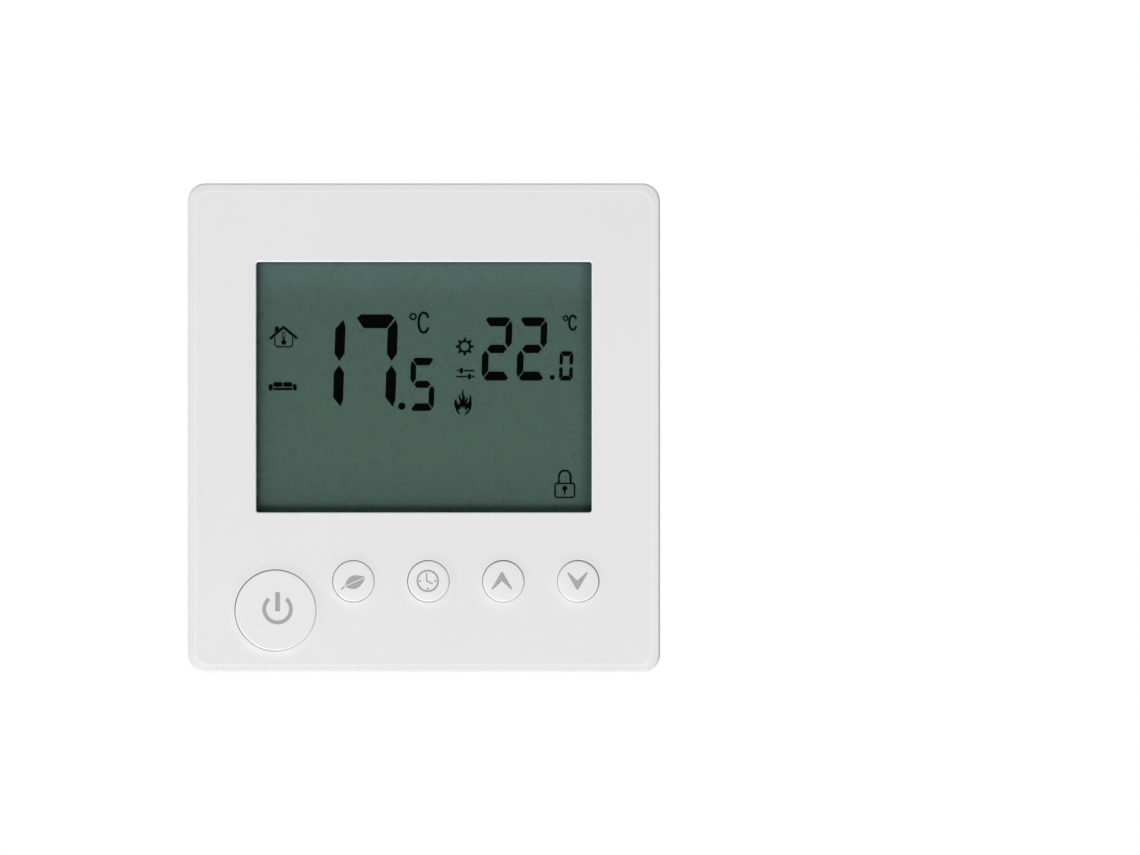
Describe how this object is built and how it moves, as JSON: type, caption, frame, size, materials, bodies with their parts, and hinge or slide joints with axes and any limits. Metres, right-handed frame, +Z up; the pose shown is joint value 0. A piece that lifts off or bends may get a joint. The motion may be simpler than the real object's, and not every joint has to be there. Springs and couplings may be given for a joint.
{
  "type": "wall thermostat",
  "caption": "Flush-mounted wall thermostat: square cover with a large recessed LCD, a round power button and a row of small buttons, on a wall-box housing.",
  "frame": {"origin": "centre of the cover's outline on the wall surface, at the back face of the mounting frame", "axes": "+X right and +Z up as seen from the room, +Y into the wall"},
  "size_m": [0.086, 0.0435, 0.089],
  "materials": {
    "cover_white": "fine satin moulded ABS",
    "button_white": "satin moulded ABS",
    "window_clear": "clear polished",
    "lcd_glass": "smooth grey-green display glass",
    "black_plastic": "satin",
    "light_guide": "frosted acrylic",
    "led_strip": "satin",
    "zebra_rubber": "matt striped silicone",
    "board_green": "solder mask, satin",
    "zinc_steel": "bright zinc plate",
    "frame_steel": "zinc-plated pressed sheet",
    "yellow_zinc": "yellow passivated zinc",
    "brass": "machined",
    "sensor_epoxy": "gloss epoxy bead",
    "housing_white": "matt moulded ABS",
    "relay_blue": "gloss moulded case",
    "winding_tape": "polyester tape over ferrite",
    "capacitor_sleeve": "shrink sleeve",
    "fuse_brown": "moulded case",
    "varistor_blue": "dipped epoxy",
    "terminal_grey": "moulded polyamide"
  },
  "bodies": {
    "wall_unit": {"mounting_frame": "frame_steel", "rear_housing": "housing_white", "housing_lid": "housing_white", "header_socket": "black_plastic", "power_board": "board_green", "relay": "relay_blue", "transformer": "winding_tape", "capacitor": "capacitor_sleeve", "fuse": "fuse_brown", "varistor": "varistor_blue", "terminal_block": "terminal_grey", "wall_screw_left": "yellow_zinc", "wall_screw_right": "yellow_zinc", "housing_screw_top": "zinc_steel", "housing_screw_bottom": "zinc_steel", "terminal_clamp_1": "brass", "terminal_clamp_2": "brass", "terminal_clamp_3": "brass", "terminal_clamp_4": "brass", "terminal_clamp_5": "brass", "terminal_clamp_6": "brass", "terminal_screw_1": "zinc_steel", "terminal_screw_2": "zinc_steel", "terminal_screw_3": "zinc_steel", "terminal_screw_4": "zinc_steel", "terminal_screw_5": "zinc_steel", "terminal_screw_6": "zinc_steel"},
    "front_unit": {"front_cover": "cover_white", "display_window": "window_clear", "lcd_panel": "lcd_glass", "lcd_holder": "black_plastic", "light_guide": "light_guide", "backlight_strip": "led_strip", "zebra_strip": "zebra_rubber", "control_board": "board_green", "microcontroller": "black_plastic", "clock_crystal": "zinc_steel", "backup_cell": "zinc_steel", "room_sensor": "sensor_epoxy", "header_plug": "black_plastic", "board_screw_1": "zinc_steel", "board_screw_2": "zinc_steel", "board_screw_3": "zinc_steel", "board_screw_4": "zinc_steel", "power_switch": "black_plastic", "economy_switch": "black_plastic", "clock_switch": "black_plastic", "up_switch": "black_plastic", "down_switch": "black_plastic"},
    "power_key": {"power_button": "button_white", "power_plunger": "black_plastic"},
    "economy_key": {"economy_button": "button_white", "economy_plunger": "black_plastic"},
    "clock_key": {"clock_button": "button_white", "clock_plunger": "black_plastic"},
    "up_key": {"up_button": "button_white", "up_plunger": "black_plastic"},
    "down_key": {"down_button": "button_white", "down_plunger": "black_plastic"}
  },
  "joints": [
    {"name": "front_release", "type": "slide", "parent": "wall_unit", "child": "front_unit", "axis": [0, -1, 0], "range_m": [0, 0.02]},
    {"name": "power_press", "type": "slide", "parent": "front_unit", "child": "power_key", "axis": [0, 1, 0], "range_m": [0, 0.0004], "stiffness_N_per_m": 400, "springref_m": -0.002},
    {"name": "economy_press", "type": "slide", "parent": "front_unit", "child": "economy_key", "axis": [0, 1, 0], "range_m": [0, 0.0004], "stiffness_N_per_m": 400, "springref_m": -0.002},
    {"name": "clock_press", "type": "slide", "parent": "front_unit", "child": "clock_key", "axis": [0, 1, 0], "range_m": [0, 0.0004], "stiffness_N_per_m": 400, "springref_m": -0.002},
    {"name": "up_press", "type": "slide", "parent": "front_unit", "child": "up_key", "axis": [0, 1, 0], "range_m": [0, 0.0004], "stiffness_N_per_m": 400, "springref_m": -0.002},
    {"name": "down_press", "type": "slide", "parent": "front_unit", "child": "down_key", "axis": [0, 1, 0], "range_m": [0, 0.0004], "stiffness_N_per_m": 400, "springref_m": -0.002}
  ]
}
